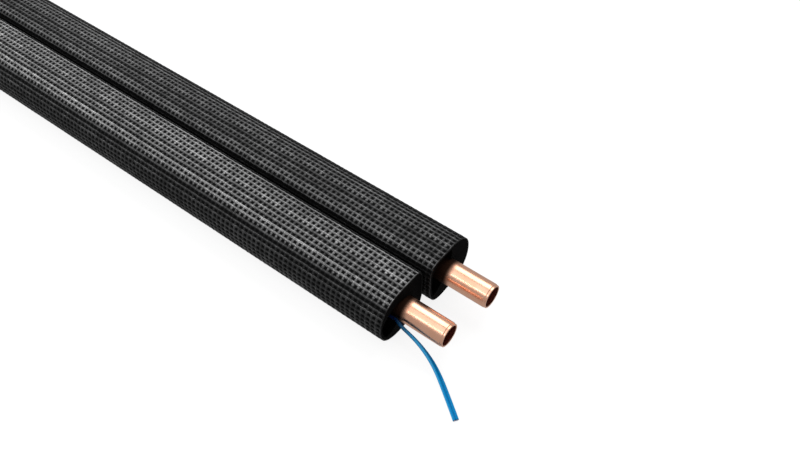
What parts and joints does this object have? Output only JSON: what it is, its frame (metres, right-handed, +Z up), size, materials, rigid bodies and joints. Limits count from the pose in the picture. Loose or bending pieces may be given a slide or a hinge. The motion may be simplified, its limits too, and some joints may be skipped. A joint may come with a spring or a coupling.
{
  "type": "pre-insulated solar pipe",
  "caption": "Copper solar flow and return tubes in D-shaped black foam insulation with a fine mesh skin, laid side by side, with a flat blue sensor cable.",
  "frame": {"origin": "on the floor under the middle of the pair of lines, leaving the free cable end out", "axes": "+X along the pipe to the near end, where the cable comes out; +Y from the flow line to the return line; +Z up"},
  "size_m": [2.0886, 0.089, 0.0368],
  "materials": {
    "copper": "polished copper",
    "foam": "matt closed-cell foam, cut smooth",
    "jacket": "fine embossed mesh, slightly glossy on its ribs",
    "cable": "smooth translucent blue"
  },
  "bodies": {
    "root": {"flow_copper_tube": "copper", "return_copper_tube": "copper", "flow_foam": "foam", "return_foam": "foam", "flow_jacket": "jacket", "return_jacket": "jacket", "sensor_cable_run": "cable", "sensor_cable_tail": "cable"}
  },
  "joints": []
}
